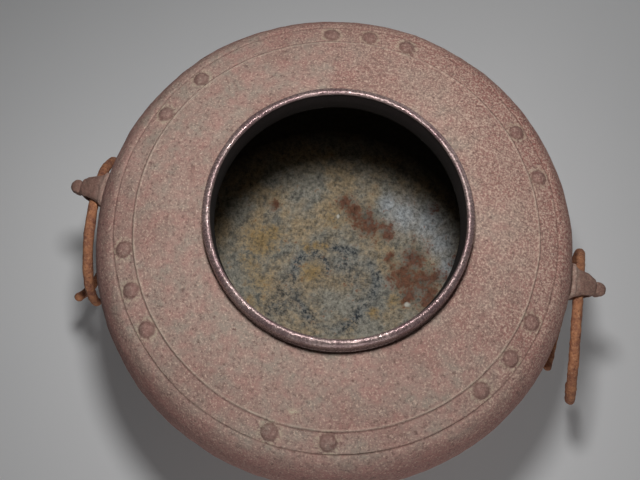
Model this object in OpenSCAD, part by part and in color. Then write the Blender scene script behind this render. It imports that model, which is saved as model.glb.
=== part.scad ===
// Cast iron tea kettle: a broad open-mouthed kettle with a rolled rim, a banded shoulder,
// two pierced lugs and two loose open rings. Millimetres, +Z up, the kettle standing on z = 0,
// its axis on Z and its lugs on the X axis.

/* [Kettle body] */
// Height from the rest face to the crest of the rim
kettle_height = 176; // [160:1:200]
// Diameter at the widest part of the flank
body_d = 254.2; // [240:0.1:280]
// Thickness of the cast wall
wall = 4.2; // [3.4:0.1:5]
// Slope of the shoulder at the rim, in degrees
shoulder_slope_in = 7.5; // [5:0.5:9]
// Slope of the shoulder at its outer edge, in degrees
shoulder_slope_out = 12.3; // [10.5:0.1:15]
// Radius of the tight turn from shoulder to flank
turn_r = 9.5; // [7:0.5:14]
// Radius of the upper flank
upper_flank_r = 28.6; // [22:0.2:34]
// Radius of the middle flank
mid_flank_r = 64; // [56:1:72]
// Radius of the flank just above its widest part
side_r = 105; // [90:1:120]
// Radius of the turn from the lower flank into the bottom
foot_r = 60; // [50:1:66]

/* [Rim] */
// Diameter of the mouth, inside the rim
mouth_d = 119; // [110:0.5:126]
// Thickness of the rim through its rolled lip
lip_w = 4.5; // [3.6:0.1:5.5]
// Height of the lip above the shoulder
lip_h = 9.8; // [8:0.2:12]
// Radius of the lip's inner corner
lip_inner_round = 1.5; // [1:0.1:2]
// Width of the flange at the foot of the rim, past the lip
flange_w = 0.6; // [0.4:0.1:1]
// Thickness of the flange above the shoulder
flange_h = 0.8; // [0.5:0.1:1.2]
// Depth of the flange's seat below the shoulder
seat_depth = 0.6; // [0.4:0.1:1]
// Thickness of the rim's skirt inside the body's mouth
skirt_w = 2.6; // [2.2:0.1:3]
// How far the skirt reaches below the wall
skirt_reach = 0.6; // [0.3:0.1:1.5]

/* [Band and bosses] */
// Width of the band between the two lines
band_w = 10.5; // [9:0.5:13]
// Distance from the outer line to the shoulder's outer edge
band_margin = 0.6; // [0.4:0.1:2]
// Width of each line
line_w = 1.2; // [0.8:0.1:1.6]
// Diameter of a boss
boss_d = 7.3; // [6:0.1:8]
// Height of a boss above the shoulder
boss_h = 1.4; // [1:0.1:1.8]
// Angle between the bosses of a group of three, in degrees
triple_step = 11.3; // [9:0.1:13]
// Angle between the bosses of a pair, in degrees
pair_step = 14.6; // [11:0.1:17]
// Turn of the whole ring of bosses from the lugs, in degrees
boss_turn = 1.2; // [-3:0.1:3]

/* [Lugs] */
// Depth of the ring hole's axis below the crest of the rim
lug_drop = 48.8; // [42:0.2:56]
// Thickness of metal above and below the ring hole, at its axis
lug_web = 2.2; // [1.8:0.1:3]
// Metal between the body and the ring hole
lug_root_web = 0.6; // [0.4:0.1:2]
// Metal between the ring hole and the groove at the knob
lug_end_web = 2; // [1.6:0.1:3]
// Width of the lug at the body
lug_root_w = 16.6; // [14:0.1:18]
// Width of the lug at the groove
lug_end_w = 8.6; // [7.6:0.1:9]
// Height of the lug at the groove
lug_end_h = 10.4; // [9:0.1:11]
// How far the lug's four corners are rounded off
lug_corner = 0.5; // [0.3:0.1:1]
// Length of the straight throat of the ring hole
hole_throat = 6.6; // [5:0.2:7]
// Slope of the ring hole's worn mouths, in degrees
hole_flare = 24; // [18:1:28]
// Diameter of the knob at the tip
knob_d = 7.8; // [7:0.1:9]
// Length of the knob past the groove
knob_l = 5.6; // [4.5:0.1:7]
// Rounding of the knob's tip
knob_round = 2.6; // [1.6:0.1:3.2]
// Width of the groove behind the knob
groove_w = 1.2; // [0.8:0.1:1.6]
// Depth of the groove behind the knob
groove_depth = 0.7; // [0.4:0.1:1]
// Diameter of the tenon that holds the lug in the wall
tenon_d = 9; // [7:0.1:10]
// Depth of the tenon's socket in the wall
tenon_l = 3; // [2:0.1:3]

/* [Rings] */
// Thickness of the ring's bar
bar_d = 5.6; // [4.8:0.1:6.2]
// How far the bar swells at its ends and where it is bent
swell = 0.15; // [0.1:0.05:0.3]
// Radius of the ring to the middle of its bar
ring_r = 42.7; // [38:0.1:46]
// Room round the bar in the lug's hole
ring_play = 2.6; // [2.5:0.1:3.4]
// Width of the ring's opening, in degrees round it
opening_angle = 15; // [10:1:22]
// Length of the sprung end, in degrees round the ring
sprung_length = 150; // [120:5:160]
// Turn of the sprung end out of the ring's plane, in degrees
spring_angle = 10; // [6:1:13]
// How far the right ring hangs out from upright, in degrees
right_lean = 21.6; // [12:0.1:26]
// How far the left ring hangs out from upright, in degrees
left_lean = 4.3; // [0:0.1:10]
// How far the right ring has run round through its hole, in degrees
right_run = 18; // [12:0.1:20]
// How far the left ring has run round through its hole, in degrees
left_run = 16.3; // [12:0.1:20]
// Turn of the right ring about the upright, in degrees
right_twist = 1; // [-3:0.5:4]
// Turn of the left ring about the upright, in degrees
left_twist = 7; // [2:0.5:9]
// Place of the right ring's opening, in degrees round from its hole
right_opening = 159; // [140:1:170]
// Place of the left ring's opening, in degrees round from its hole
left_opening = 118; // [105:1:140]

/* [Fits] */
// Gap left all round a piece that is cast into another
cast_gap = 0.05; // [0.02:0.01:0.1]

/* [Hidden] */
$fn = 120;
arc_step = 3;               // degrees between the points of a turned profile
corner_step = 15;           // degrees between the points of a small rounding
over = 1;                   // how far one solid runs into or past another

// The rim, outwards from its bore
mouth_r = mouth_d / 2;
lip_outer_r = mouth_r + lip_w;
flange_r = lip_outer_r + flange_w;
skirt_r = mouth_r + skirt_w;
seat_r = skirt_r + cast_gap;
shoulder_r_in = flange_r + cast_gap;

// The body's outline is a chain of tangent arcs, from the rim out, down and in to the rest face.
// An angle is the slope of the outline: 0 runs outwards, 90 straight down, 180 inwards.
turn_end = 43;
upper_end = 64;
mid_end = 83;
side_end = 90;
flank_end = 140;
foot_end = 172;
corner_reach = turn_r * (sin(turn_end) - sin(shoulder_slope_out))
    + upper_flank_r * (sin(upper_end) - sin(turn_end))
    + mid_flank_r * (sin(mid_end) - sin(upper_end))
    + side_r * (sin(side_end) - sin(mid_end));
shoulder_r_out = body_d / 2 - corner_reach;
shoulder_arc_r = (shoulder_r_out - shoulder_r_in) / (sin(shoulder_slope_out) - sin(shoulder_slope_in));
widest_drop = lip_h
    + shoulder_arc_r * (cos(shoulder_slope_in) - cos(shoulder_slope_out))
    + turn_r * (cos(shoulder_slope_out) - cos(turn_end))
    + upper_flank_r * (cos(turn_end) - cos(upper_end))
    + mid_flank_r * (cos(upper_end) - cos(mid_end))
    + side_r * (cos(mid_end) - cos(side_end));
lower_flank_r = (kettle_height - widest_drop - foot_r * (cos(flank_end) - cos(foot_end)))
    / (cos(side_end) - cos(flank_end));
arc_r = [shoulder_arc_r, turn_r, upper_flank_r, mid_flank_r, side_r, lower_flank_r, foot_r];
arc_a = [shoulder_slope_in, shoulder_slope_out, turn_end, upper_end, mid_end, side_end, flank_end, foot_end];

function out(a) = [sin(a), cos(a)];
function arc_centre(i) = i == 0
    ? [shoulder_r_in, kettle_height - lip_h] - arc_r[0] * out(arc_a[0])
    : arc_centre(i - 1) + (arc_r[i - 1] - arc_r[i]) * out(arc_a[i]);
centres = [for (i = [0 : len(arc_r) - 1]) arc_centre(i)];

// Points of one arc, set in by the depth d, from angle a0 to a1
function arc_points(i, d, a0, a1) =
    let (n = max(2, ceil((a1 - a0) / arc_step)))
    [for (k = [0 : n]) centres[i] + (arc_r[i] - d) * out(a0 + (a1 - a0) * k / n)];

// The whole outline set in by d, starting on the shoulder at the radius r0
function outline(d, r0) =
    let (start = asin((r0 - centres[0][0]) / (arc_r[0] - d)))
    concat(arc_points(0, d, start, arc_a[1]),
        [for (i = [1 : len(arc_r) - 1]) for (p = arc_points(i, d, arc_a[i], arc_a[i + 1])) p]);

// Height of each arc's end, and the radius of the outline at the height z
function arc_end_z(i) = centres[i][1] + arc_r[i] * cos(arc_a[i + 1]);
function arc_at(z, i = 0) = z >= arc_end_z(i) || i == len(arc_r) - 1 ? i : arc_at(z, i + 1);
function outline_r(z) = let (i = arc_at(z)) centres[i][0] + sqrt(pow(arc_r[i], 2) - pow(z - centres[i][1], 2));
function shoulder_z(r, d = 0) = centres[0][1] + sqrt(pow(arc_r[0] - d, 2) - pow(r - centres[0][0], 2));
function shoulder_slope(r) = asin((r - centres[0][0]) / arc_r[0]);

seat_z = kettle_height - lip_h - seat_depth;
skirt_z = shoulder_z(seat_r, wall) - skirt_reach;
outer_line_r = shoulder_r_out - band_margin;
inner_line_r = outer_line_r - band_w;
boss_circle_r = (outer_line_r + inner_line_r) / 2;
boss_angles = [for (third = [0 : 2]) for (a = concat(
    [for (k = [-1 : 1]) 90 + k * triple_step],
    [for (k = [-0.5 : 0.5]) 30 + k * pair_step])) a + 120 * third + boss_turn];

bar_r = bar_d / 2;
hole_r = bar_r + ring_play;
lug_z = kettle_height - lug_drop;
lug_face_r = outline_r(lug_z);
hole_x = lug_face_r + lug_root_web + hole_r;
groove_x = hole_x + hole_r + lug_end_web;
knob_x = groove_x + groove_w;
tip_x = knob_x + knob_l;
socket_x = lug_face_r - tenon_l;
root_x = lug_face_r - tenon_l + over / 2;   // inside the wall, where the lug is trimmed to the body
lug_hole_h = 2 * (hole_r + lug_web);
lug_flare = (lug_hole_h - lug_end_h) / 2 / (groove_x - hole_x);
lug_root_h = lug_hole_h + 2 * lug_flare * (hole_x - root_x);
bend_gap = 0.15;            // the two stretches of bar stop this many degrees short, inside the swelling

// The closed solid of the body's outside, used to trim what stands on it
module body_block() {
    outer = outline(0, shoulder_r_in);
    rotate_extrude()
        polygon(concat([[0, 0], [0, outer[0][1]]], outer, [[outer[len(outer) - 1][0], 0]]));
}

module boss(angle) {
    sphere_r = (pow(boss_d / 2, 2) + pow(boss_h, 2)) / (2 * boss_h);
    rotate([0, 0, angle])
        translate([boss_circle_r, 0, shoulder_z(boss_circle_r)])
            rotate([0, shoulder_slope(boss_circle_r), 0])
                intersection() {
                    translate([0, 0, boss_h - sphere_r]) sphere(r = sphere_r);
                    translate([0, 0, -over]) cylinder(d = boss_d + over, h = boss_h + 2 * over);
                }
}

module line_ring(r) {
    rotate_extrude() translate([r, shoulder_z(r)]) circle(d = line_w, $fn = 24);
}

module lug_socket(side) {
    translate([side * socket_x, 0, lug_z])
        rotate([0, side * 90, 0]) cylinder(r = tenon_d / 2 + cast_gap, h = 2 * tenon_l);
}

module kettle_body() {
    outer = outline(0, shoulder_r_in);
    inner = outline(wall, seat_r);
    foot_x = outer[len(outer) - 1][0];
    floor_z = inner[len(inner) - 1][1];
    color("#7d6864")
        difference() {
            union() {
                rotate_extrude()
                    polygon(concat(
                        [[seat_r, seat_z], [shoulder_r_in, seat_z]], outer,
                        [[foot_x, 0], [0, 0], [0, floor_z]],
                        [for (i = [len(inner) - 1 : -1 : 0]) inner[i]]));
                line_ring(inner_line_r);
                for (a = boss_angles) boss(a);
            }
            line_ring(outer_line_r);
            lug_socket(1);
            lug_socket(-1);
        }
}

module mouth_rim() {
    outer_round = lip_w - lip_inner_round;
    function corner(centre, r, from) =
        [for (a = [from : corner_step : from + 90]) centre + r * [cos(a), sin(a)]];
    crest_r = mouth_r + lip_inner_round;
    flange_z = seat_z + seat_depth + flange_h;
    color("#5a4246")
        rotate_extrude()
            polygon(concat(
                [[mouth_r, skirt_z], [skirt_r, skirt_z], [skirt_r, seat_z + cast_gap],
                    [flange_r, seat_z + cast_gap], [flange_r, flange_z - flange_h / 2],
                    [lip_outer_r, flange_z]],
                corner([crest_r, kettle_height - outer_round], outer_round, 0),
                corner([crest_r, kettle_height - lip_inner_round], lip_inner_round, 90)));
}

// A trapezium along X from the lug's root to its groove, root_size wide narrowing to end_size
module lug_taper(root_size, end_size) {
    polygon([[root_x, -root_size / 2], [groove_x, -end_size / 2],
        [groove_x, end_size / 2], [root_x, root_size / 2]]);
}

// The hole for the ring, along Y through the origin: a straight throat between two worn mouths
module ring_hole() {
    mouth_y = lug_root_w;
    mouth_hole_r = hole_r + (mouth_y - hole_throat / 2) * tan(hole_flare);
    rotate([90, 0, 0])
        rotate_extrude()
            polygon([[0, -mouth_y], [mouth_hole_r, -mouth_y], [hole_r, -hole_throat / 2],
                [hole_r, hole_throat / 2], [mouth_hole_r, mouth_y], [0, mouth_y]]);
}

// A lug on the +X side: a tapered block with rounded corners and a knob, pierced along Y
module lug() {
    root_r = norm([lug_root_w, lug_root_h]) / 2 - lug_corner;
    end_r = norm([lug_end_w, lug_end_h]) / 2 - lug_corner;
    stem_r = knob_d / 2 - groove_depth;
    difference() {
        union() {
            difference() {
                union() {
                    intersection() {
                        translate([0, 0, lug_z]) rotate([0, 90, 0])
                            rotate_extrude()
                                polygon([[0, root_x], [root_r, root_x], [end_r, groove_x], [0, groove_x]]);
                        translate([0, 0, lug_z - lug_root_h])
                            linear_extrude(height = 2 * lug_root_h) lug_taper(lug_root_w, lug_end_w);
                        translate([0, lug_root_w, lug_z]) rotate([90, 0, 0])
                            linear_extrude(height = 2 * lug_root_w) lug_taper(lug_root_h, lug_end_h);
                    }
                    translate([0, 0, lug_z]) rotate([0, 90, 0])
                        rotate_extrude()
                            polygon(concat(
                                [[0, groove_x - over], [stem_r, groove_x - over],
                                    [stem_r, knob_x - groove_depth / 2], [knob_d / 2, knob_x]],
                                [for (a = [0 : corner_step : 90])
                                    [knob_d / 2 - knob_round * (1 - cos(a)), tip_x - knob_round * (1 - sin(a))]],
                                [[0, tip_x]]));
                }
                body_block();
            }
            translate([socket_x + cast_gap, 0, lug_z])
                rotate([0, 90, 0]) cylinder(d = tenon_d, h = tenon_l + lug_root_web / 2);
        }
        translate([hole_x, 0, lug_z]) ring_hole();
    }
}

module right_lug() {
    color("#86706b") lug();
}

module left_lug() {
    color("#86706b") rotate([0, 0, 180]) lug();
}

// A stretch of bar round the ring, in the ring's own plane, from one angle to another
module bar(from, to) {
    rotate([0, 0, from])
        rotate_extrude(angle = to - from, $fn = 120)
            translate([ring_r, 0]) circle(r = bar_r, $fn = 32);
}

// A forged swelling on the bar, in the ring's own plane, at an angle round it
module swelling(angle) {
    rotate([0, 0, angle]) translate([ring_r, 0, 0]) sphere(r = bar_r + swell, $fn = 48);
}

// An open ring with its hole point at the origin, hanging down -Z, its opening on the -Y side.
// The end that comes round the back is sprung out of the ring's plane, towards -X.
// The bar swells a little at its two ends and where it is bent.
module ring(lean, run, twist, opening) {
    front_end = opening - opening_angle / 2;
    bend = opening + opening_angle / 2 + sprung_length;
    rotate([0, lean, 0])
        rotate([-run, 0, 0])
            rotate([0, 0, twist])
                translate([0, 0, -ring_r])
                    rotate(a = 180, v = [1, 0, 1]) {
                        bar(bend - 360 + bend_gap, front_end);
                        swelling(front_end);
                        swelling(bend);
                        rotate([0, 0, bend])
                            translate([ring_r, 0, 0])
                                rotate([0, -spring_angle, 0])
                                    translate([-ring_r, 0, 0]) {
                                        bar(-sprung_length, -bend_gap);
                                        swelling(-sprung_length);
                                    }
                    }
}

module right_ring() {
    color("#9a6846") translate([hole_x, 0, lug_z]) ring(-right_lean, right_run, right_twist, right_opening);
}

module left_ring() {
    color("#9a6846") translate([-hole_x, 0, lug_z]) ring(left_lean, left_run, left_twist, left_opening);
}

kettle_body();
mouth_rim();
left_lug();
right_lug();
left_ring();
right_ring();
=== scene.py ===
import math

import bpy
import numpy as np
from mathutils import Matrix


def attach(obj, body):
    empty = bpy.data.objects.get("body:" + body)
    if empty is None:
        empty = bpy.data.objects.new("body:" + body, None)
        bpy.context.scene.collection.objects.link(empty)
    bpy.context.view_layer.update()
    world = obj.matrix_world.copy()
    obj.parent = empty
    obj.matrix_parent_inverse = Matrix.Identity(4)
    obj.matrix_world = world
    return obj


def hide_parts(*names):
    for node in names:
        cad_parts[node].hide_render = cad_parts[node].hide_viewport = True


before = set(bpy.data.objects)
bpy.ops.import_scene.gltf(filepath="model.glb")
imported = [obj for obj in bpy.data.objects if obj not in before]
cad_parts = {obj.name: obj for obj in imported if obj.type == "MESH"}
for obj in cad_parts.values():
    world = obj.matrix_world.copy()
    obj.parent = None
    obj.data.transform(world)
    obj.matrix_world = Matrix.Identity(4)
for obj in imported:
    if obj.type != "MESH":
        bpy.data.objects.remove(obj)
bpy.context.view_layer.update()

# ---- Kettle casting ---------------------------------------------------------------------------
# The body, shoulder and bosses are one iron casting about 4 mm thick, poured in a sand mould that
# was swept to shape with a turning board. The outside keeps the grain of the sand under a dull
# brown rust skin, and the inside carries water scale with patches of rust.

mm = 0.001                      # sizes below are in millimetres, meshes in metres

kettle_height = 176
body_d = 254.2
wall = 4.2
mouth_r = 59.5
lip_w, lip_h = 4.5, 9.8         # the lip's width and its height over the shoulder's edge
flange_w, skirt_w = 0.6, 2.6    # the rim's flange past the lip, and the wall of its skirt
seat_depth, cast_gap = 0.6, 0.05
band_w, band_margin = 10.5, 0.6
boss_d, boss_h = 7.3, 1.4
triple_step, pair_step, boss_turn = 11.3, 14.6, 1.2    # degrees round the band

# The outline is a chain of tangent arcs; a slope of 0 runs outwards, 90 down and 180 inwards. The
# first arc spans the shoulder, and the sixth takes the height that the others leave.
arc_slope = np.array([7.5, 12.3, 43, 64, 83, 90, 140, 172])
slope_sin, slope_cos = np.sin(np.radians(arc_slope)), np.cos(np.radians(arc_slope))
arc_r = np.array([0, 9.5, 28.6, 64, 105, 0, 60])
shoulder_r_in = mouth_r + lip_w + flange_w + cast_gap
shoulder_r_out = body_d / 2 - (arc_r * np.diff(slope_sin))[1:5].sum()
arc_r[0] = (shoulder_r_out - shoulder_r_in) / (slope_sin[1] - slope_sin[0])
widest_drop = lip_h - (arc_r * np.diff(slope_cos))[:5].sum()
arc_r[5] = ((kettle_height - widest_drop + arc_r[6] * (slope_cos[7] - slope_cos[6]))
            / (slope_cos[5] - slope_cos[6]))

# Each arc's centre lies past the one before by the difference of their radii, along the normal
arc_centre = np.cumsum(np.vstack([
    [[shoulder_r_in - arc_r[0] * slope_sin[0], kettle_height - lip_h - arc_r[0] * slope_cos[0]]],
    (arc_r[:-1] - arc_r[1:])[:, None] * np.stack([slope_sin, slope_cos], 1)[1:-1]]), 0)


def casting_outline(slope, depth=0):
    """Radius and height of the casting where its outside has a slope in degrees, set in by depth:
    the centre of that stretch's arc plus its radius, less the depth, along the normal."""
    arc = np.clip(np.searchsorted(arc_slope, slope, side="right") - 1, 0, len(arc_r) - 1)
    reach = arc_r[arc] - depth
    return (arc_centre[arc, 0] + reach * np.sin(np.radians(slope)),
            arc_centre[arc, 1] + reach * np.cos(np.radians(slope)))


def shoulder_slope(radius, depth=0):
    """Slope of the shoulder's long arc at a radius: the arc sine of the run over the arc's radius."""
    return np.degrees(np.arcsin((radius - arc_centre[0, 0]) / (arc_r[0] - depth)))


def ripple(points, wavelength, height, seed):
    """Unevenness of a cast or forged skin: twelve plane waves of about one wavelength, with random
    directions and phases, added up to a mean height."""
    chance = np.random.default_rng(seed)
    way = chance.normal(size=(12, 3))
    way *= (2 * np.pi / wavelength / np.linalg.norm(way, axis=1) / chance.uniform(0.7, 1.4, 12))[:, None]
    return height * np.sin(points @ way.T + chance.uniform(0, 2 * np.pi, 12)).sum(-1) / np.sqrt(6)


def put_grid(name, grid, ends, marks={}):
    """Closed mesh of a grid of points (rows, columns, xyz) in millimetres whose columns run round.
    With ends "points" the first and last rows are one point each; with ends "joined" the last row
    meets the first. marks are colour values for the same grid, kept as attributes."""
    rows, columns = grid.shape[:2]
    if ends == "points":
        kept = np.r_[0, columns:(rows - 1) * columns, (rows - 1) * columns]
        number = np.empty(rows * columns, int)
        number[kept] = np.arange(len(kept))
        number = number.reshape(rows, columns)
        number[0], number[-1] = 0, len(kept) - 1
    else:
        kept = np.arange(rows * columns)
        number = kept.reshape(rows, columns)
        number = np.vstack([number, number[:1]])
    beside = np.roll(number, -1, 1)
    faces = np.stack([number[:-1], number[1:], beside[1:], beside[:-1]], -1)
    if ends == "points":
        caps = np.concatenate([faces[0][:, [0, 1, 2]], faces[-1][:, [0, 1, 3]]]).tolist()
        faces = faces[1:-1]
    else:
        caps = []
    mesh = bpy.data.meshes.new(name)
    mesh.from_pydata(grid.reshape(-1, 3)[kept] * mm, [], faces.reshape(-1, 4).tolist() + caps)
    mesh.shade_smooth()
    for mark, values in marks.items():
        mesh.attributes.new(mark, "FLOAT_COLOR", "POINT").data.foreach_set(
            "color", values.reshape(-1, 4)[kept].astype(np.float32).ravel())
    piece = bpy.data.objects.new(name, mesh)
    bpy.context.scene.collection.objects.link(piece)
    return piece


def swept(out, up, turn):
    """Points a distance out from the upright axis and a height up, one row for each, carried round
    by the angles of turn: x is out times the cosine, y is out times the sine."""
    return np.stack([out[:, None] * np.cos(turn), out[:, None] * np.sin(turn), up[:, None] + 0 * turn], -1)


# Fifteen bosses stand in the middle of the band: in each third, three together and then a pair
outer_line_r = shoulder_r_out - band_margin
inner_line_r = outer_line_r - band_w
boss_circle_r = (outer_line_r + inner_line_r) / 2
boss_group = np.array([90 - triple_step, 90, 90 + triple_step, 30 - pair_step / 2, 30 + pair_step / 2])
boss_angle = np.concatenate([120 * third + boss_turn + boss_group for third in range(3)])

# Columns round the kettle, gathered at the bosses, which are small beside it: their spacing is the
# inverse of one plus a bell at each boss
columns = 520
gathering, gathered_angle = 2.2, 2.1
turn = np.linspace(0, 360, 7201)
off = (turn[:, None] - boss_angle + 180) % 360 - 180
crowd = np.cumsum(1 + gathering * np.exp(-(off / gathered_angle) ** 2).sum(1))
turn = np.radians(np.interp(np.arange(columns) / columns * (crowd[-1] - crowd[0]) + crowd[0], crowd, turn))

# Rows, from the middle of the floor out, up the inside, over the seat, down the outside and under.
# inside and outside are the rows' slopes; the rows stand closest where the band is.
seat_r = mouth_r + skirt_w + cast_gap
seat_z = kettle_height - lip_h - seat_depth
inside = np.concatenate([
    np.linspace(172, 140, 10)[:-1], np.linspace(140, 90, 14)[:-1], np.linspace(90, 43, 8)[:-1],
    np.linspace(43, 12.3, 4)[:-1], shoulder_slope(np.linspace(shoulder_r_out - 1, seat_r, 7), wall)])
across_shoulder = np.concatenate([
    np.linspace(shoulder_r_in, inner_line_r - 1.4, 26)[:-1],
    np.linspace(inner_line_r - 1.4, inner_line_r + 1.8, 16)[:-1],
    np.linspace(inner_line_r + 1.8, outer_line_r - 0.9, 16)[:-1],
    np.linspace(outer_line_r - 0.9, shoulder_r_out, 8)])
outside = np.concatenate([
    shoulder_slope(across_shoulder), np.linspace(12.3, 43, 9)[1:], np.linspace(43, 64, 8)[1:],
    np.linspace(64, 83, 11)[1:], np.linspace(83, 90, 5)[1:], np.linspace(90, 140, 19)[1:],
    np.linspace(140, 172, 8)[1:]])
inner_r, inner_z = casting_outline(inside, wall)
outer_r, outer_z = casting_outline(outside)
floor_rows, under_rows = 14, 5
floor_r = np.linspace(0, inner_r[0], floor_rows + 1)[:-1]
under_r = np.linspace(outer_r[-1], 0, under_rows + 1)[1:]
row_r = np.concatenate([floor_r, inner_r, [seat_r], [shoulder_r_in], outer_r, under_r])
row_z = np.concatenate([
    np.full(floor_rows, inner_z[0]), inner_z, [seat_z], [seat_z], outer_z, np.zeros(under_rows)])
row_z[-under_rows - 1] = 0      # the edge of the base stands flat

# The way each row's skin faces: the sine and cosine of its slope, up on the floor, none at the seat
normal_r = np.concatenate([
    np.zeros(floor_rows), -np.sin(np.radians(inside)), [0, 0],
    np.sin(np.radians(outside)), np.zeros(under_rows)])
normal_z = np.concatenate([
    np.ones(floor_rows), -np.cos(np.radians(inside)), [0, 0],
    np.cos(np.radians(outside)), np.zeros(under_rows)])
casting = swept(row_r, row_z, turn)
facing = swept(normal_r, normal_z, turn)

# The skin's unevenness, in waves of 70 mm down to 5 mm, dies out at the seat and at the base, and
# is set in a little so that the skin stays within the casting's true size. The flank's rows are
# too far apart for the short waves.
set_in = 0.42
first_out = floor_rows + len(inside) + 2
is_out = np.zeros(len(row_r))
is_out[first_out:len(row_r) - under_rows] = 1
fade = is_out * np.clip(np.abs(row_r - shoulder_r_in) / 6, 0, 1) * np.clip(row_z / 12, 0, 1)
close_rows = np.clip((row_z - 100) / 25, 0.1, 1)[:, None]
rough = ripple(casting, 70, 0.1, 1) + ripple(casting, 24, 0.09, 2)
rough += close_rows * (ripple(casting, 9, 0.06, 3) + ripple(casting, 5, 0.04, 4))
lift = fade[:, None] * (rough - set_in)

# Bosses stand as low domes; the inner line is a ridge with a furrow outside it, the outer a furrow.
# Across each line the height is a bell, and round it the depth wanders, with one chip in the ridge.
boss_turned = np.radians(boss_angle)
boss_z = casting_outline(shoulder_slope(boss_circle_r))[1]
boss_at = np.stack([boss_circle_r * np.cos(boss_turned), boss_circle_r * np.sin(boss_turned),
                    np.full(len(boss_angle), boss_z)], -1)
far_off = 99                    # stands for nowhere near
boss_off = np.linalg.norm(casting[:, :, None] - boss_at, axis=-1).min(-1)
boss_off[is_out == 0] = far_off
dome = np.clip(1 - (boss_off / (boss_d / 2)) ** 2, 0, 1) ** 0.6
on_shoulder = (is_out > 0) & (row_r < shoulder_r_out + 0.5)
from_inner = np.where(is_out > 0, row_r - inner_line_r, far_off)[:, None] + 0 * turn
from_outer = np.where(on_shoulder, row_r - outer_line_r, far_off)[:, None] + 0 * turn
degrees_round = np.degrees(turn)
chip_at, rubbed_at, fleck_at = 265, 258, 268.5
wander = 1 + 0.35 * np.sin(5 * turn + 1) + 0.25 * np.sin(13 * turn)
chip = 1 - 0.9 * np.exp(-((degrees_round - chip_at) / 1.6) ** 2)
ridge = np.exp(-(from_inner / 0.45) ** 2) * chip
furrow = np.exp(-((from_inner - 1.0) / 0.35) ** 2)
cut = np.exp(-(from_outer / 0.38) ** 2)
lift += boss_h * dome + 0.45 * ridge * wander - 0.3 * furrow - 0.6 * cut * wander

# Inside, the scale lies in low blisters of 16 and 6 mm
is_in = np.zeros(len(row_r))
is_in[:floor_rows + len(inside) - 2] = 1
lift += is_in[:, None] * (ripple(casting, 16, 0.12, 5) + ripple(casting, 6, 0.1, 6))
casting = casting + facing * lift[..., None]

# Marks that the finish follows: the bosses, the pale crust round each and one pale fleck of it on
# the shoulder, dirt with painted shade in the furrows and round each boss's foot, and a painted
# highlight on the inner ridge, which is also rubbed brighter in one place
boss_top = np.clip((boss_d / 2 - boss_off) / 0.8 + 0.5, 0, 1)
halo = 0.65 * np.exp(-((boss_off - boss_d / 2 - 1.2) / 1.1) ** 2)
fleck_r, fleck_size = 93, 1.5
fleck_off = np.hypot(row_r[:, None] - fleck_r, fleck_r * np.radians(degrees_round - fleck_at) / 1.4)
upper_outside = is_out[:, None] * (row_z[:, None] > 150)
halo = halo + 1.5 * upper_outside * np.exp(-(fleck_off / fleck_size) ** 2)
# Dirt in the furrows, with a dark ring at each boss's foot: partly painted shade
dirt_and_shade_in_hollows = np.clip(0.8 * (cut + furrow) + np.exp(-((boss_off - boss_d / 2) / 0.5) ** 2), 0, 1)
# The pale inner ridge is a painted highlight, rubbed brighter in one place
ridge_highlight_and_wear = ridge * (1 + 1.5 * np.exp(-((degrees_round - rubbed_at) / 1.4) ** 2))
marks = np.stack([boss_top, halo, dirt_and_shade_in_hollows, ridge_highlight_and_wear], -1)


def spot(*places):
    """How far a point of the inside lies within round spots of x, y, z and radius: 1 at a spot's
    middle, 0.5 at its edge, falling off as a bell."""
    places = np.array(places, float)
    far = np.linalg.norm(casting[:, :, None] - places[:, :3], axis=-1)
    return (0.5 ** ((far / places[:, 3]) ** 2)).max(-1)


# Stains inside: red rust where the scale has flaked by the wall, ochre on the floor, blue-black
# in a ring left by water, a smaller ring by a drip and some loose patches, and a paler far wall
red_rust = spot(
    (1, 63, 9, 6), (9, 58, 7, 7), (17, 54, 6, 9), (23, 49, 5, 8), (31, 51, 7, 4), (36, 46, 6, 6),
    (41, 28, 4, 4), (59, 30, 10, 9), (56, 16, 7, 12), (67, 14, 11, 10), (60, 3, 7, 8), (73, 2, 14, 8),
    (78, 19, 19, 6), (63, 62, 27, 3.5), (85, 30, 30, 3), (-50, 49, 11, 3.5))
ochre = np.maximum(
    spot((-54, 21, 6, 11), (-48, 29, 6, 7), (-13, 7, 4, 7), (37, -14, 4, 4), (50, -2, 5, 5),
         (-20, 24, 4, 3.5), (-14, 26.5, 4, 3.2), (-8, 28, 4, 3.5)),
    0.6 * spot((-60, 5, 7, 10), (-50, -9, 4, 9), (-52, -24, 5, 8), (-5, 50, 5, 7), (22, -28, 4, 4)))
ring_x, ring_mark_r, drip_x, drip_y, drip_mark_r = 5, 30, -13.4, 8, 12.5
ring_off = np.hypot(casting[..., 0] - ring_x, casting[..., 1])
ring_way = np.arctan2(casting[..., 1], casting[..., 0] - ring_x)
water_mark = (np.exp(-((ring_off - ring_mark_r - 2 * np.sin(3 * ring_way)) / 3.2) ** 2)
              * (0.7 + 0.3 * np.sin(5 * ring_way)))
drip_off = np.hypot(casting[..., 0] - drip_x, casting[..., 1] - drip_y)
drip_mark = np.exp(-((drip_off - drip_mark_r) / 2.0) ** 2) * (casting[..., 1] > 4)
on_floor = casting[..., 2] < 12
blue_black = np.maximum(
    np.maximum(1.2 * water_mark, 1.1 * drip_mark) * on_floor,
    0.62 * spot((-28, -13, 4, 12), (-34, -26, 4, 9), (10, 16, 4, 10), (18, 8, 4, 7), (-8, -28, 4, 6),
                (28, -12, 4, 7), (33, 0, 4, 5)))
pale = spot((46, 60, 16, 13), (64, 55, 23, 13), (74, 42, 24, 12), (82, 26, 24, 8), (33, 66, 14, 7),
            (90, 10, 30, 6))
stains = np.stack([red_rust, ochre, blue_black, pale], -1)

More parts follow.
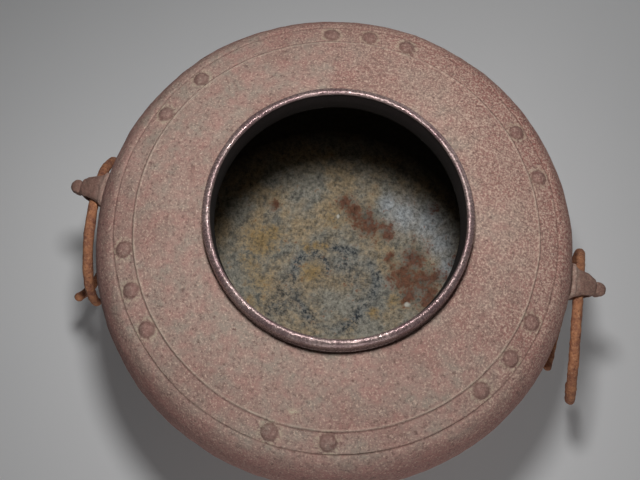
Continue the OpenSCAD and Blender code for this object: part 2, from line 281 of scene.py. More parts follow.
# Inside there are no bosses, so the halo's channel carries a few white specks of lime there
lime_specks = spot((60, -4, 7, 2.1), (60, 7, 7, 1.1), (-2, 52, 5, 1.2), (41, 52, 8, 1.2))
marks[..., 1] = np.where(is_in[:, None] > 0, lime_specks, marks[..., 1])

kettle_casting = put_grid("kettle_casting", casting, "points", {"marks": marks, "stains": stains})


def srgb(code):
    """Linear colour of an sRGB hex code: each channel is undone by the sRGB curve."""
    part = np.array([int(code[i:i + 2], 16) for i in (1, 3, 5)]) / 255
    return (*np.where(part <= 0.04045, part / 12.92, ((part + 0.055) / 1.055) ** 2.4).tolist(), 1)


def add(tree, kind, inputs={}, **settings):
    """Adds one node. settings are its own options; inputs are its sockets, by name or number, each
    given a value or another node's output. On a colour Mix, socket 0 is the share of the second
    colour, 6 and 7 are the colours, and output 2 is the result."""
    node = tree.nodes.new(kind)
    for option, value in settings.items():
        setattr(node, option, value)
    for socket, value in inputs.items():
        if isinstance(value, bpy.types.NodeSocket):
            tree.links.new(value, node.inputs[socket])
        else:
            node.inputs[socket].default_value = value
    return node


def new_material(name):
    """An empty node material and the shader that it shows."""
    material = bpy.data.materials.new(name)
    material.use_nodes = True
    return material, material.node_tree, material.node_tree.nodes["Principled BSDF"]


# Sand-cast iron under old rust: a dry, matt, grainy skin left by the moulding sand, with pale dust
# on it and redder rust coming through in patches. Iron oxide isn't a metal to the eye, so the skin
# is rough and not metallic. The sand's grains are 0.2 to 0.5 mm, too fine to show from here, so
# they are drawn at 1 and 1.8 mm. Every Scale is 1000 over a size in millimetres.
cast_skin, tree, shader = new_material("sand_cast_iron_rust_skin")
place = add(tree, "ShaderNodeTexCoord").outputs["Object"]
grain = add(tree, "ShaderNodeTexNoise", {
    "Vector": place, "Scale": 1000 / 1.0, "Detail": 3, "Roughness": 0.7}).outputs["Fac"]
sand = add(tree, "ShaderNodeTexNoise", {
    "Vector": place, "Scale": 1000 / 1.8, "Detail": 5, "Roughness": 0.75}).outputs["Fac"]
clouds = add(tree, "ShaderNodeTexNoise", {
    "Vector": place, "Scale": 1000 / 9, "Detail": 4, "Roughness": 0.6}).outputs["Fac"]
shifted = add(tree, "ShaderNodeMapping", {
    "Vector": place, "Location": (0.31, -0.17, 0.05)}).outputs["Vector"]
patches = add(tree, "ShaderNodeTexNoise", {
    "Vector": shifted, "Scale": 1000 / 55, "Detail": 4, "Roughness": 0.6}).outputs["Fac"]
marked = add(tree, "ShaderNodeAttribute", attribute_name="marks")
mark = add(tree, "ShaderNodeSeparateColor", {"Color": marked.outputs["Color"]})
height = add(tree, "ShaderNodeSeparateXYZ", {"Vector": place}).outputs["Z"]

# Brown skin in clouds of two tones, redder in patches and towards one side, where it lay damper,
# most of all past the shoulder's middle, and pinker on the flank
warm = add(tree, "ShaderNodeMapRange", {
    "Value": clouds, "From Min": 0.36, "From Max": 0.64}).outputs["Result"]
colour = add(tree, "ShaderNodeMix", {
    0: warm, 6: srgb("#97887c"), 7: srgb("#a48177")}, data_type="RGBA").outputs[2]
right_hand = add(tree, "ShaderNodeVectorMath", {
    0: place, 1: (8, 6, 0)}, operation="DOT_PRODUCT").outputs["Value"]
rusty_side = add(tree, "ShaderNodeMapRange", {
    "Value": right_hand, "From Min": -0.9, "From Max": 0.9,
    "To Min": 0.3, "To Max": 0.65}).outputs["Result"]
redder = add(tree, "ShaderNodeMapRange", {
    "Value": patches, "From Min": 0.48, "From Max": 0.62}).outputs["Result"]
redder = add(tree, "ShaderNodeMath", {0: redder, 1: rusty_side}, operation="MULTIPLY").outputs[0]
colour = add(tree, "ShaderNodeMix", {0: redder, 6: colour, 7: srgb("#8b5d55")}, data_type="RGBA").outputs[2]
level = add(tree, "ShaderNodeVectorMath", {0: place, 1: (1, 1, 0)}, operation="MULTIPLY").outputs["Vector"]
from_axis = add(tree, "ShaderNodeVectorMath", {0: level}, operation="LENGTH").outputs["Value"]
outer_part = add(tree, "ShaderNodeMapRange", {
    "Value": from_axis, "From Min": 0.075, "From Max": 0.112,
    "To Min": 0.1, "To Max": 0.85}).outputs["Result"]
blush = add(tree, "ShaderNodeMath", {
    0: right_hand, 1: outer_part}, operation="MULTIPLY", use_clamp=True).outputs[0]
colour = add(tree, "ShaderNodeMix", {0: blush, 6: colour, 7: srgb("#8c544d")}, data_type="RGBA").outputs[2]
low = add(tree, "ShaderNodeMapRange", {
    "Value": height, "From Min": 0.1575, "From Max": 0.150, "To Max": 0.7}).outputs["Result"]
colour = add(tree, "ShaderNodeMix", {0: low, 6: colour, 7: srgb("#a26e67")}, data_type="RGBA").outputs[2]

# Pale dust over the sand's grains, with a few bright flecks, and dark pits between them
toward = add(tree, "ShaderNodeVectorMath", {
    0: place, 1: (8, 5.5, 0)}, operation="DOT_PRODUCT").outputs["Value"]
paler = add(tree, "ShaderNodeMapRange", {
    "Value": toward, "From Min": 0.0, "From Max": 0.8, "To Max": 0.085}).outputs["Result"]
paler = add(tree, "ShaderNodeMath", {0: grain, 1: paler}, operation="ADD").outputs[0]
dust = add(tree, "ShaderNodeMapRange", {
    "Value": paler, "From Min": 0.52, "From Max": 0.7, "To Max": 0.88}).outputs["Result"]
colour = add(tree, "ShaderNodeMix", {0: dust, 6: colour, 7: srgb("#d0b4a2")}, data_type="RGBA").outputs[2]
bright = add(tree, "ShaderNodeMapRange", {
    "Value": grain, "From Min": 0.72, "From Max": 0.76, "To Max": 0.9}).outputs["Result"]
colour = add(tree, "ShaderNodeMix", {0: bright, 6: colour, 7: srgb("#eee5d9")}, data_type="RGBA").outputs[2]
pitted = add(tree, "ShaderNodeMapRange", {
    "Value": sand, "From Min": 0.49, "From Max": 0.3, "To Max": 1.0}).outputs["Result"]
colour = add(tree, "ShaderNodeMix", {0: pitted, 6: colour, 7: srgb("#6a504a")}, data_type="RGBA").outputs[2]

# Pale crust round the bosses, bosses worn to the iron, dirt with painted shade in the furrows and
# round the bosses' feet, a painted highlight on the ridge with its rubbed place, and the lugs a
# little darker than the body
crusted = add(tree, "ShaderNodeMapRange", {
    "Value": sand, "From Min": 0.44, "From Max": 0.56}).outputs["Result"]
mould = add(tree, "ShaderNodeMath", {0: mark.outputs["Green"], 1: crusted}, operation="MULTIPLY").outputs[0]
colour = add(tree, "ShaderNodeMix", {0: mould, 6: colour, 7: srgb("#b9ab94")}, data_type="RGBA").outputs[2]
worn = add(tree, "ShaderNodeMapRange", {
    "Value": sand, "From Min": 0.62, "From Max": 0.38, "To Min": 0.3, "To Max": 0.8}).outputs["Result"]
worn = add(tree, "ShaderNodeMath", {0: mark.outputs["Red"], 1: worn}, operation="MULTIPLY").outputs[0]
colour = add(tree, "ShaderNodeMix", {0: worn, 6: colour, 7: srgb("#7c5b54")}, data_type="RGBA").outputs[2]
# The furrows and the bosses' feet darken with dirt and painted shade
dirt_and_painted_shade = add(tree, "ShaderNodeMath", {0: mark.outputs["Blue"], 1: 0.65}, operation="MULTIPLY").outputs[0]
colour = add(tree, "ShaderNodeMix", {0: dirt_and_painted_shade, 6: colour, 7: srgb("#61433d")}, data_type="RGBA").outputs[2]
# Painted highlight on the inner ridge, with its rubbed place
highlight_and_wear = add(tree, "ShaderNodeMath", {0: marked.outputs["Alpha"], 1: 0.4}, operation="MULTIPLY").outputs[0]
colour = add(tree, "ShaderNodeMix", {0: highlight_and_wear, 6: colour, 7: srgb("#b3a393")}, data_type="RGBA").outputs[2]
out_on_lug = add(tree, "ShaderNodeMapRange", {
    "Value": from_axis, "From Min": 0.1265, "From Max": 0.130}).outputs["Result"]
colour = add(tree, "ShaderNodeMix", {
    0: out_on_lug, 6: colour, 7: srgb("#cabebb")}, data_type="RGBA", blend_type="MULTIPLY").outputs[2]
tree.links.new(colour, shader.inputs["Base Color"])
relief = add(tree, "ShaderNodeBump", {"Height": sand, "Strength": 0.8, "Distance": 0.0009})
relief = add(tree, "ShaderNodeBump", {
    "Height": grain, "Strength": 0.7, "Distance": 0.0005, "Normal": relief.outputs["Normal"]})
tree.links.new(relief.outputs["Normal"], shader.inputs["Normal"])
shader.inputs["Roughness"].default_value = 0.78
shader.inputs["Specular IOR Level"].default_value = 0.35

# Water scale on iron: a hard mineral crust left by boiling, grey to ochre, speckled with dark iron
# and broken by blisters of red rust where it has flaked. It is matt and slightly bumpy. Its
# speckles are well under 1 mm and are drawn at 2.6 mm, so that they show.
scale_skin, tree, shader = new_material("water_scale_on_cast_iron")
place = add(tree, "ShaderNodeTexCoord").outputs["Object"]
speckle = add(tree, "ShaderNodeTexNoise", {
    "Vector": place, "Scale": 1000 / 2.6, "Detail": 6, "Roughness": 0.8}).outputs["Fac"]
crust = add(tree, "ShaderNodeTexNoise", {
    "Vector": place, "Scale": 1000 / 7, "Detail": 5, "Roughness": 0.75}).outputs["Fac"]
drift = add(tree, "ShaderNodeTexNoise", {
    "Vector": place, "Scale": 1000 / 26, "Detail": 3, "Roughness": 0.6}).outputs["Fac"]
stained = add(tree, "ShaderNodeAttribute", attribute_name="stains")
stain = add(tree, "ShaderNodeSeparateColor", {"Color": stained.outputs["Color"]})

# Sandy and grey scale drifting into each other and worn to dark iron in places. The blue-black
# stain is a grey wash with broken dark specks over it.
cool = add(tree, "ShaderNodeMapRange", {
    "Value": drift, "From Min": 0.42, "From Max": 0.6}).outputs["Result"]
colour = add(tree, "ShaderNodeMix", {
    0: cool, 6: srgb("#b5a183"), 7: srgb("#a5a093")}, data_type="RGBA").outputs[2]
bare = add(tree, "ShaderNodeMapRange", {
    "Value": crust, "From Min": 0.52, "From Max": 0.38, "To Max": 0.75}).outputs["Result"]
colour = add(tree, "ShaderNodeMix", {0: bare, 6: colour, 7: srgb("#6c6c66")}, data_type="RGBA").outputs[2]
ragged = add(tree, "ShaderNodeMath", {0: speckle, 1: 0.7, 2: crust}, operation="MULTIPLY_ADD").outputs[0]
ragged = add(tree, "ShaderNodeMath", {0: ragged, 1: 0.85}, operation="SUBTRACT").outputs[0]
damp = add(tree, "ShaderNodeMath", {0: stain.outputs["Blue"], 1: 0.55}, operation="MULTIPLY").outputs[0]
colour = add(tree, "ShaderNodeMix", {0: damp, 6: colour, 7: srgb("#6d757a")}, data_type="RGBA").outputs[2]
broken = add(tree, "ShaderNodeMapRange", {
    "Value": speckle, "From Min": 0.54, "From Max": 0.43, "To Max": 1.0}).outputs["Result"]
broken = add(tree, "ShaderNodeMath", {0: broken, 1: stain.outputs["Blue"]}, operation="MULTIPLY").outputs[0]

# Each stain covers where its share, made ragged by an amount of noise, passes from low to high
for share, amount, lowest, highest, code in (
        (stained.outputs["Alpha"], 0.6, 0.2, 0.9, "#b9bfc3"),
        (stain.outputs["Green"], 2.4, 0.25, 0.95, "#ab8e5d"),
        (broken, 0.0, 0.12, 0.8, "#414c55"),
        (stain.outputs["Red"], 3.6, 0.42, 0.85, "#6f3e2d")):
    edge = add(tree, "ShaderNodeMath", {
        0: ragged, 1: amount, 2: share}, operation="MULTIPLY_ADD").outputs[0]
    edge = add(tree, "ShaderNodeMapRange", {
        "Value": edge, "From Min": lowest, "From Max": highest, "To Max": 0.85}).outputs["Result"]
    colour = add(tree, "ShaderNodeMix", {0: edge, 6: colour, 7: srgb(code)}, data_type="RGBA").outputs[2]

# Up the wall the scale gives way to iron, black partly with the oxide that steam leaves and partly
# as painted shade. All of it is speckled, and a few white specks of lime lie on top.
height = add(tree, "ShaderNodeSeparateXYZ", {"Vector": place}).outputs["Z"]
# Painted shade and oxide: the wall turns black above the scale
oxide_and_painted_shade_up_wall = add(tree, "ShaderNodeMapRange", {
    "Value": height, "From Min": 0.017, "From Max": 0.046, "To Max": 0.985}).outputs["Result"]
colour = add(tree, "ShaderNodeMix", {0: oxide_and_painted_shade_up_wall, 6: colour, 7: srgb("#140f0c")}, data_type="RGBA").outputs[2]
speckled = add(tree, "ShaderNodeMapRange", {
    "Value": speckle, "From Min": 0.36, "From Max": 0.64, "To Min": 0.38, "To Max": 1.6}).outputs["Result"]
colour = add(tree, "ShaderNodeMix", {
    0: 1.0, 6: colour, 7: speckled}, data_type="RGBA", blend_type="MULTIPLY").outputs[2]
lime = add(tree, "ShaderNodeAttribute", attribute_name="marks").outputs["Color"]
lime = add(tree, "ShaderNodeSeparateColor", {"Color": lime}).outputs["Green"]
lime = add(tree, "ShaderNodeMapRange", {
    "Value": lime, "From Min": 0.35, "From Max": 0.65, "To Max": 0.9}).outputs["Result"]
colour = add(tree, "ShaderNodeMix", {0: lime, 6: colour, 7: srgb("#e6e2d6")}, data_type="RGBA").outputs[2]
tree.links.new(colour, shader.inputs["Base Color"])
relief = add(tree, "ShaderNodeBump", {"Height": crust, "Strength": 0.6, "Distance": 0.0012})
relief = add(tree, "ShaderNodeBump", {
    "Height": speckle, "Strength": 0.5, "Distance": 0.0004, "Normal": relief.outputs["Normal"]})
tree.links.new(relief.outputs["Normal"], shader.inputs["Normal"])
shader.inputs["Roughness"].default_value = 0.85
shader.inputs["Specular IOR Level"].default_value = 0.3

# The faces come in rows, with the middles of the floor and of the base last
kettle_casting.data.materials.append(cast_skin)
kettle_casting.data.materials.append(scale_skin)
last_in = (floor_rows + len(inside)) * columns
finish_of = np.zeros(len(kettle_casting.data.polygons), np.int32)
finish_of[:last_in - 2 * columns] = 1
finish_of[-2 * columns:-columns] = 1
kettle_casting.data.polygons.foreach_set("material_index", finish_of)
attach(kettle_casting, "kettle")
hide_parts("kettle_body")

# ---- Mouth rim --------------------------------------------------------------------------------
# The rolled lip is a separate ring of smooth iron, cast first and set in the body's mould so that
# the body's iron ran up to its flange. Hands and lids have polished its crest.

inner_round = 1.5               # radius of the crest's inner side; the outer side takes the rest
outer_round = lip_w - inner_round
crest_r = mouth_r + inner_round
flange_r = mouth_r + lip_w + flange_w
flange_h, skirt_below = 0.8, 0.6
flange_z = kettle_height - lip_h + flange_h
skirt_z = casting_outline(shoulder_slope(seat_r, wall), wall)[1] - skirt_below
quarter = np.radians(np.linspace(0, 90, 14))

# Rows round the rim's section: under the skirt, up its outside, over the flange's eased edge, up
# the lip's outside with a fillet at its foot, round the crest by two quarter circles, and down
lip_r = np.concatenate([
    np.linspace(mouth_r, mouth_r + skirt_w, 4), [mouth_r + skirt_w] * 4,
    np.linspace(mouth_r + skirt_w, flange_r, 4)[1:], [flange_r, flange_r - 0.15, flange_r - 0.45],
    mouth_r + lip_w + 0.25 * np.exp(-np.linspace(0, 3, 8)), crest_r + outer_round * np.cos(quarter),
    crest_r - inner_round * np.sin(quarter[1:]), [mouth_r] * 12])
lip_z = np.concatenate([
    [skirt_z] * 4, np.linspace(skirt_z, seat_z + cast_gap, 5)[1:], [seat_z + cast_gap] * 3,
    [flange_z - 0.4, flange_z - 0.1, flange_z],
    np.linspace(flange_z + 0.2, kettle_height - outer_round, 9)[:-1],
    kettle_height - outer_round + outer_round * np.sin(quarter),
    kettle_height - inner_round + inner_round * np.cos(quarter[1:]),
    np.linspace(kettle_height - inner_round, skirt_z, 13)[:-1]])
rim_turn = np.linspace(0, 2 * np.pi, 720, endpoint=False)
lip = swept(lip_r, lip_z, rim_turn)

# Above the flange the lip is uneven, in waves of 40 and 7 mm, away from the middle of its section
out_of_round = np.clip((lip[..., 2] - flange_z) / 3, 0, 1) * (
    ripple(lip, 40, 0.1, 11) + ripple(lip, 7, 0.035, 12) - 0.3)
lip_core = swept(np.array([crest_r + 0.5]), np.array([kettle_height - 3]), rim_turn)
outwards = lip - lip_core
lip = lip + out_of_round[..., None] * outwards / np.linalg.norm(outwards, axis=-1, keepdims=True)
mouth_lip = put_grid("mouth_lip", lip, "joined")

# Smooth cast iron with a thin purple-brown rust: denser than the sand-cast body, so it takes a
# satin polish on the crest, broken by fine pits. Inside, under the crest, it is dull and black, partly
# with the oxide that steam leaves and partly as painted shade. The pits are about 0.3 mm across and
# drawn at 1.1 mm, so that they show.
lip_finish, tree, shader = new_material("smooth_cast_iron_worn_satin")
place = add(tree, "ShaderNodeTexCoord").outputs["Object"]
pits = add(tree, "ShaderNodeTexNoise", {
    "Vector": place, "Scale": 1000 / 1.1, "Detail": 3, "Roughness": 0.6}).outputs["Fac"]
tint = add(tree, "ShaderNodeTexNoise", {
    "Vector": place, "Scale": 1000 / 14, "Detail": 4, "Roughness": 0.6}).outputs["Fac"]
height = add(tree, "ShaderNodeSeparateXYZ", {"Vector": place}).outputs["Z"]
shade = add(tree, "ShaderNodeMapRange", {
    "Value": tint, "From Min": 0.4, "From Max": 0.62}).outputs["Result"]
colour = add(tree, "ShaderNodeMix", {
    0: shade, 6: srgb("#937f7c"), 7: srgb("#7d6566")}, data_type="RGBA").outputs[2]
fleck = add(tree, "ShaderNodeMapRange", {
    "Value": pits, "From Min": 0.56, "From Max": 0.7, "To Max": 0.7}).outputs["Result"]
colour = add(tree, "ShaderNodeMix", {0: fleck, 6: colour, 7: srgb("#b09c92")}, data_type="RGBA").outputs[2]
# Painted shade: the lip's foot is darker where it meets the shoulder
painted_shade_at_foot = add(tree, "ShaderNodeMapRange", {
    "Value": height, "From Min": 0.1683, "From Max": 0.1671, "To Max": 0.8}).outputs["Result"]
colour = add(tree, "ShaderNodeMix", {0: painted_shade_at_foot, 6: colour, 7: srgb("#6b5751")}, data_type="RGBA").outputs[2]
level = add(tree, "ShaderNodeVectorMath", {0: place, 1: (1, 1, 0)}, operation="MULTIPLY").outputs["Vector"]
from_axis = add(tree, "ShaderNodeVectorMath", {0: level}, operation="LENGTH").outputs["Value"]
within = add(tree, "ShaderNodeMath", {0: from_axis, 1: 0.0602}, operation="LESS_THAN").outputs[0]
# Inside under the crest: black oxide and painted shade, dull and not metallic
oxide_and_painted_shade = add(tree, "ShaderNodeMapRange", {
    "Value": height, "From Min": 0.1752, "From Max": 0.174, "To Max": 0.97}).outputs["Result"]
oxide_and_painted_shade = add(tree, "ShaderNodeMath", {0: within, 1: oxide_and_painted_shade}, operation="MULTIPLY").outputs[0]
colour = add(tree, "ShaderNodeMix", {
    0: oxide_and_painted_shade, 6: colour, 7: srgb("#120d0b")}, data_type="RGBA").outputs[2]
tree.links.new(colour, shader.inputs["Base Color"])
relief = add(tree, "ShaderNodeBump", {"Height": pits, "Strength": 0.8, "Distance": 0.00045})
tree.links.new(relief.outputs["Normal"], shader.inputs["Normal"])
satin = add(tree, "ShaderNodeMapRange", {
    "Value": pits, "From Min": 0.35, "From Max": 0.65, "To Min": 0.13, "To Max": 0.42}).outputs["Result"]
satin = add(tree, "ShaderNodeMath", {0: satin, 1: oxide_and_painted_shade}, operation="MAXIMUM").outputs[0]
tree.links.new(satin, shader.inputs["Roughness"])
metal_part = add(tree, "ShaderNodeMapRange", {
    "Value": oxide_and_painted_shade, "To Min": 0.55, "To Max": 0.0}).outputs["Result"]
tree.links.new(metal_part, shader.inputs["Metallic"])
shader.inputs["Specular IOR Level"].default_value = 0.25
mouth_lip.data.materials.append(lip_finish)
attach(mouth_lip, "kettle")
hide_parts("mouth_rim")

# ---- Lugs -------------------------------------------------------------------------------------
# Each lug is a small tapered iron casting with a knob at its tip and a hole from front to back for
# the ring. It was cast first and its tenon is held in the body's wall.

hole_r = 5.4
throat_half, hole_flare = 3.3, 12    # the hole is straight this far each way, then widens, in degrees
lug_drop = 48.8                      # from the crest down to the lugs' middle
hole_off, hole_wall, groove_half, knob_length, tenon = 0.6, 2, 1.2, 5.6, 2.6
knob_r, knob_end = 3.9, 4.6
root_half_w, root_half_h = 8.2, 10.3
taper_w, taper_h = 4.0, 5.0
lug_z = kettle_height - lug_drop
lug_face_r = np.interp(lug_z, outer_z[::-1], outer_r[::-1])
hole_x = lug_face_r + hole_off + hole_r
groove_x = hole_x + hole_r + hole_wall
tip_x = groove_x + groove_half + knob_length
root_x = lug_face_r - tenon


def lug_section(x):
    """Half width and half height of the lug at x: a taper, with a fillet that dies away from the
    body and a bell that fills it out round the hole, blended into a groove, which is a dip, and
    then into a knob whose end is a quarter ellipse."""
    along = (x - root_x) / (groove_x - root_x)
    fillet = 1.5 * np.exp(-np.clip(x - lug_face_r, 0, None) / 1.3)
    belly = np.exp(-((along - 0.6) / 0.3) ** 2)
    wide = root_half_w - taper_w * np.abs(along) ** 1.5 + fillet + 0.35 * belly
    high = root_half_h - taper_h * along + fillet + 0.8 * belly
    knob = knob_r * np.sqrt(np.clip(1 - np.clip((x - tip_x + knob_end) / knob_end, 0, 1) ** 2, 0, 1))
    past = 1 / (1 + np.exp(-(x - groove_x + 0.2) / 0.22))
    dip = 0.75 * np.exp(-((x - groove_x - 0.6) / 0.5) ** 2)
    return wide * (1 - past) + knob * past - dip, high * (1 - past) + knob * past - dip


# Sections of the lug, the first four closing its root; each is an ellipse a little squared, which
# reads as a cast form: the cosine and the sine keep their signs and are raised to a power
closing = 4
lug_x = np.concatenate([
    [root_x] * closing, np.linspace(root_x, groove_x - 1, 40)[1:],
    np.linspace(groove_x - 1, tip_x - knob_end, 14)[1:],
    tip_x - knob_end + knob_end * np.sin(np.radians(np.linspace(0, 90, 24)[1:]))])
wide, high = lug_section(lug_x)
wide[:closing] *= np.linspace(0, 1, closing + 1)[:closing]
high[:closing] *= np.linspace(0, 1, closing + 1)[:closing]
section = np.radians(np.linspace(0, -360, 64, endpoint=False))
square = 2 / 5
lug_form = np.stack([
    lug_x[:, None] + 0 * section,
    wide[:, None] * np.sign(np.cos(section)) * np.abs(np.cos(section)) ** square,
    lug_z + high[:, None] * np.sign(np.sin(section)) * np.abs(np.sin(section)) ** square], -1)

# The hole's radius grows past the throat by the tangent of the flare, eased where the growth starts
bore_half = 11
hole_y = np.concatenate([[-bore_half], np.linspace(-bore_half, bore_half, 45), [bore_half]])
past_throat = np.abs(hole_y) - throat_half
widening = (past_throat + np.sqrt(past_throat ** 2 + 0.5)) / 2
bore_r = hole_r - 0.1 + math.tan(math.radians(hole_flare)) * widening
bore_r[[0, -1]] = 0
bore = np.stack([
    hole_x + bore_r[:, None] * np.sin(section), hole_y[:, None] + 0 * section,
    lug_z + bore_r[:, None] * np.cos(section)], -1)

# The hole is cut out, a fine remesh and a smoothing ease the edges as a sand mould does, and the
# skin gets its unevenness, in waves of 6 and 2.5 mm. The left lug is the right one turned half round.
for lug_name, node, side in (("right_ring_lug", "right_lug", 1), ("left_ring_lug", "left_lug", -1)):
    lug_piece = put_grid(lug_name, lug_form * [side, side, 1], "points")
    cutter = put_grid("bore", bore * [side, side, 1], "points")
    hole = lug_piece.modifiers.new("hole", "BOOLEAN")
    hole.operation, hole.solver, hole.object = "DIFFERENCE", "EXACT", cutter
    cast_edges = lug_piece.modifiers.new("cast_edges", "REMESH")
    cast_edges.mode, cast_edges.voxel_size = "VOXEL", 0.4 * mm
    ease = lug_piece.modifiers.new("ease", "SMOOTH")
    ease.factor, ease.iterations = 0.5, 3
    rough_form = lug_piece.data
    eased = lug_piece.evaluated_get(bpy.context.evaluated_depsgraph_get())
    lug_piece.data = bpy.data.meshes.new_from_object(eased)
    lug_piece.modifiers.clear()
    bpy.data.objects.remove(cutter)
    bpy.data.meshes.remove(rough_form)
    count = len(lug_piece.data.vertices)
    points, normals = np.empty(count * 3, np.float32), np.empty(count * 3, np.float32)
    lug_piece.data.vertices.foreach_get("co", points)
    lug_piece.data.vertices.foreach_get("normal", normals)
    points, normals = points.reshape(-1, 3) / mm, normals.reshape(-1, 3)
    points = points + normals * (ripple(points, 6, 0.12, 21) + ripple(points, 2.5, 0.05, 22) - 0.1)[:, None]
    lug_piece.data.vertices.foreach_set("co", (points * mm).astype(np.float32).ravel())
    lug_piece.data.update()
    lug_piece.data.shade_smooth()
    lug_piece.data.materials.clear()
    lug_piece.data.materials.append(cast_skin)
    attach(lug_piece, "kettle")
    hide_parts(node)

# ---- Rings ------------------------------------------------------------------------------------
# Each ring is a length of round bar forged from wrought iron and bent round through its lug, with
# its two ends left apart and one end sprung sideways, so it can be worked on and off the hole.

ring_r, bar_r = 42.7, 2.8       # the ring's middle line, and its bar
opening_angle, sprung_length, spring_angle = 15, 150, 10    # degrees round the ring, and sideways
end_length = 2.2                # how far each rounded end of the bar reaches
blend_rows = 8                  # rows either side over which the bend is eased


def rotated(points, axis, degrees):
    """Points turned about an axis through the origin: the part across the axis turns, the part
    along it stays."""
    axis = np.array(axis, float) / np.linalg.norm(axis)
    turned = np.radians(degrees)
    return (points * np.cos(turned) + np.cross(axis, points) * np.sin(turned)
            + (points @ axis)[:, None] * axis * (1 - np.cos(turned)))


def ring_path(side, lean, run, twist, opening):
    """Middle line of a ring's bar: an arc of the ring's circle and the sprung end's arc, which is
    turned out of the plane about the tangent at the bend. The line is carried straight on past its
    ends and averaged under a bell, which eases the bend; the ring is then hung from its hole,
    twisted about the upright, run round, and leaned out."""
    bend = opening + opening_angle / 2 + sprung_length
    main = np.radians(np.linspace(bend - 360, opening - opening_angle / 2, 260))
    main = ring_r * np.stack([np.cos(main), np.sin(main), 0 * main], -1)
    end = np.radians(np.linspace(-sprung_length, 0, 200, endpoint=False))
    end = ring_r * np.stack([np.cos(end) - 1, np.sin(end), 0 * end], -1)
    end = rotated(rotated(end, (0, 1, 0), -spring_angle) + [ring_r, 0, 0], (0, 0, 1), bend)
    line = np.concatenate([end, main])
    longer = np.concatenate([
        line[:1] - (line[blend_rows:0:-1] - line[:1]), line,
        line[-1:] - (line[-2:-2 - blend_rows:-1] - line[-1:])])
    window = np.hanning(2 * blend_rows + 3)
    window = window[1:-1] / window.sum()
    line = np.stack([np.convolve(longer[:, axis], window, "valid") for axis in range(3)], -1)
    line = rotated(line, (1, 0, 1), 180) - [0, 0, ring_r]
    line = rotated(rotated(line, (0, 0, 1), twist), (1, 0, 0), -run)
    return rotated(line, (0, 1, 0), lean) + [side * hole_x, 0, lug_z]


# Rusted wrought iron: orange-brown hydrated rust over darker scale, matt and pitted. The rust's
# powder is far finer than 1 mm and is drawn at 1.3 mm, so that it shows.
rust_finish, tree, shader = new_material("forged_iron_orange_rust")
place = add(tree, "ShaderNodeTexCoord").outputs["Object"]
scab = add(tree, "ShaderNodeTexNoise", {
    "Vector": place, "Scale": 1000 / 5, "Detail": 5, "Roughness": 0.7}).outputs["Fac"]
grit = add(tree, "ShaderNodeTexNoise", {
    "Vector": place, "Scale": 1000 / 1.3, "Detail": 3, "Roughness": 0.7}).outputs["Fac"]
bloom = add(tree, "ShaderNodeMapRange", {
    "Value": scab, "From Min": 0.36, "From Max": 0.6}).outputs["Result"]
colour = add(tree, "ShaderNodeMix", {
    0: bloom, 6: srgb("#7d5040"), 7: srgb("#ae7755")}, data_type="RGBA").outputs[2]
powder = add(tree, "ShaderNodeMapRange", {
    "Value": grit, "From Min": 0.55, "From Max": 0.72, "To Max": 0.7}).outputs["Result"]
colour = add(tree, "ShaderNodeMix", {0: powder, 6: colour, 7: srgb("#cf9f7a")}, data_type="RGBA").outputs[2]
pocks = add(tree, "ShaderNodeMapRange", {
    "Value": grit, "From Min": 0.45, "From Max": 0.32, "To Max": 0.7}).outputs["Result"]
colour = add(tree, "ShaderNodeMix", {0: pocks, 6: colour, 7: srgb("#4a2c22")}, data_type="RGBA").outputs[2]
tree.links.new(colour, shader.inputs["Base Color"])
relief = add(tree, "ShaderNodeBump", {"Height": scab, "Strength": 0.8, "Distance": 0.0012})
relief = add(tree, "ShaderNodeBump", {
    "Height": grit, "Strength": 0.7, "Distance": 0.0005, "Normal": relief.outputs["Normal"]})
tree.links.new(relief.outputs["Normal"], shader.inputs["Normal"])
shader.inputs["Roughness"].default_value = 0.85
shader.inputs["Specular IOR Level"].default_value = 0.3

# The bar is a circle carried along the line: across is square to the line and to the way to the
# ring's middle, upward is square to both. The ends are rounded by quarter ellipses. Each ring hangs
# by its own lean, run and twist in its hole, and its opening is at its own angle, in degrees.
round_end = np.radians(np.linspace(0, 90, 8)[:-1])
end_rows = len(round_end)
girth = np.radians(np.linspace(0, 360, 36, endpoint=False))
for ring_name, side, hang in (
        ("right_ring", 1, (-21.6, 18, 1, 159)),
        ("left_ring", -1, (4.3, 16.3, 7, 118))):
    line = ring_path(side, *hang)
    along = np.gradient(line, axis=0)
    along /= np.linalg.norm(along, axis=1, keepdims=True)
    across = np.cross(along, line - line.mean(0))
    across /= np.linalg.norm(across, axis=1, keepdims=True)
    upward = np.cross(across, along)
    reach = end_length * np.cos(round_end)[:, None]
    line = np.concatenate([line[:1] - reach * along[:1], line, line[-1:] + reach[::-1] * along[-1:]])
    across, upward = (np.concatenate([np.repeat(v[:1], end_rows, 0), v, np.repeat(v[-1:], end_rows, 0)])
                      for v in (across, upward))
    thick = np.concatenate([
        np.sin(round_end), np.ones(len(line) - 2 * end_rows), np.sin(round_end)[::-1]])[:, None]
    bar = line[:, None] + bar_r * thick[..., None] * (
        np.cos(girth)[:, None] * across[:, None] + np.sin(girth)[:, None] * upward[:, None])
    worked = (ripple(bar, 14, 0.09, 31 + side) + ripple(bar, 5, 0.07, 33 + side)
              + ripple(bar, 2.6, 0.035, 35 + side) - 0.2)
    outwards = bar - line[:, None]
    bar = line[:, None] + outwards * (1 + worked / bar_r)[..., None]
    ring_piece = put_grid(ring_name + "_bar", bar, "points")
    ring_piece.data.materials.append(rust_finish)
    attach(ring_piece, ring_name)
    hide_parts(ring_name)

# ---- Floor, light and camera ------------------------------------------------------------------
# A plain pale matt table top, a small lamp close above the mouth, and two low soft boxes, one in
# front and a weaker one behind, with very weak light all round. The camera looks down steeply.

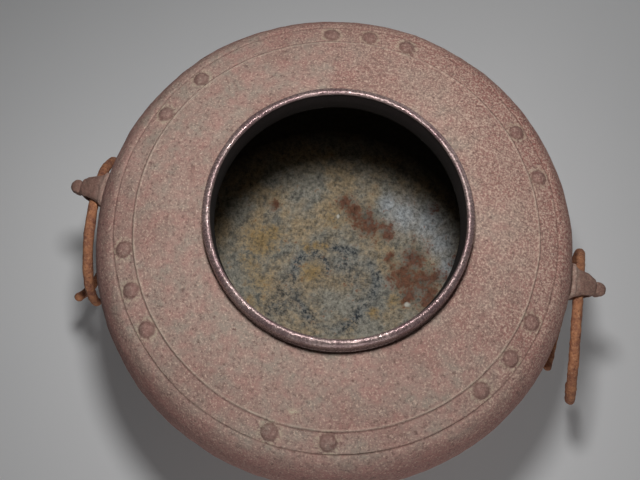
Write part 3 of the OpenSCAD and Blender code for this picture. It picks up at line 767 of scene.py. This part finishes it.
half = 3                        # half the table's side, in metres
table = bpy.data.meshes.new("table")
corners = [(-half, -half, 0), (half, -half, 0), (half, half, 0), (-half, half, 0)]
table.from_pydata(corners, [], [(0, 1, 2, 3)])
table = bpy.data.objects.new("table", table)
bpy.context.scene.collection.objects.link(table)

# Matt painted board, with a faint mottle of 150 mm
table_top, tree, shader = new_material("matt_table_top")
place = add(tree, "ShaderNodeTexCoord").outputs["Object"]
place = add(tree, "ShaderNodeMapping", {"Vector": place, "Location": (half, half, half)}).outputs["Vector"]
mottle = add(tree, "ShaderNodeTexNoise", {"Vector": place, "Scale": 1000 / 150, "Detail": 2}).outputs["Fac"]
colour = add(tree, "ShaderNodeMix", {
    0: mottle, 6: srgb("#e4e5e6"), 7: srgb("#eaeaea")}, data_type="RGBA").outputs[2]
tree.links.new(colour, shader.inputs["Base Color"])
shader.inputs["Roughness"].default_value = 0.7
table.data.materials.append(table_top)

# Each light's shape, width and height in metres, watts, place, and turn in degrees
for name, shape, across, up, watts, position, turned in (
        ("lamp", "DISK", 0.05, 0.05, 0.86, (-0.018, 0.016, 0.437), (0, 0, 0)),
        ("softbox", "RECTANGLE", 0.7, 0.3, 2.6, (0.34, -0.94, 0.33), (79.7, 0, 19.9)),
        ("back_softbox", "RECTANGLE", 0.7, 0.3, 1.3, (0.5, 0.86, 0.36), (75.4, 0, 149.8))):
    light = bpy.data.lights.new(name, "AREA")
    light.shape, light.size, light.size_y, light.energy = shape, across, up, watts
    light = bpy.data.objects.new(name, light)
    light.location = position
    light.rotation_euler = [math.radians(angle) for angle in turned]
    bpy.context.scene.collection.objects.link(light)

world = bpy.data.worlds.new("soft_light")
world.use_nodes = True
world.node_tree.nodes["Background"].inputs["Color"].default_value = srgb("#f4f5f8")
world.node_tree.nodes["Background"].inputs["Strength"].default_value = 0.03
bpy.context.scene.world = world
bpy.context.scene.view_settings.view_transform = "Standard"

camera = bpy.data.cameras.new("camera")
camera.lens, camera.sensor_width = 34.39, 36
camera.clip_start = 0.01
camera = bpy.data.objects.new("camera", camera)
camera.location = (0.00364, -0.0915, 0.44397)
camera.rotation_euler = [math.radians(angle) for angle in (15.726, -1.168, 11.271)]
bpy.context.scene.collection.objects.link(camera)
bpy.context.scene.camera = camera
